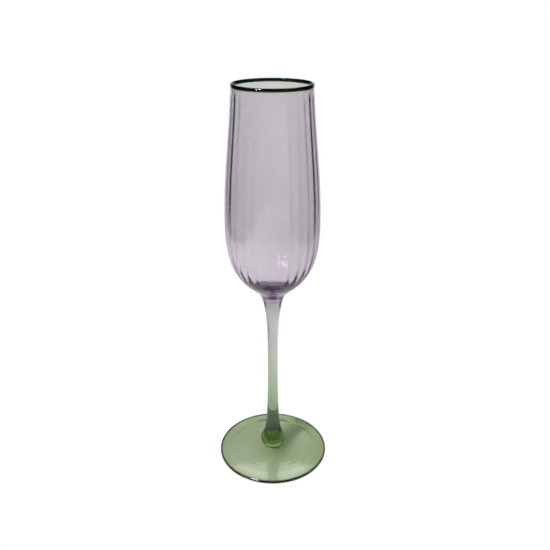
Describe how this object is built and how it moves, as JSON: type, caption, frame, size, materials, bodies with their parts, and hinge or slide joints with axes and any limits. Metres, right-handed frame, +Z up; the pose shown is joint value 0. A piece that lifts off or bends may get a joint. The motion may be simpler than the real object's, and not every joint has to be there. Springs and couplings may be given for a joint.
{
  "type": "champagne flute",
  "caption": "Stemmed flute glass: tall lilac bowl with optic ribs and a green lip band, solid pulled stem fading to green, ball knop and flat green foot.",
  "frame": {"origin": "centre of the plane that the foot rests on", "axes": "+Z up along the flute's axis of revolution; X and Y are level and alike"},
  "size_m": [0.071, 0.071, 0.24],
  "materials": {
    "lilac_glass": "clear pale lilac glass, fire polished",
    "stem_glass": "clear glass fading from lilac at the top to green at the bottom",
    "knop_glass": "clear green glass, fire polished",
    "foot_glass": "clear sage green glass, fire polished",
    "rim_glass": "deep green glass wrap, fire polished"
  },
  "bodies": {
    "root": {"foot": "foot_glass", "knop": "knop_glass", "stem": "stem_glass", "bowl": "lilac_glass", "rim_band": "rim_glass"}
  },
  "joints": []
}
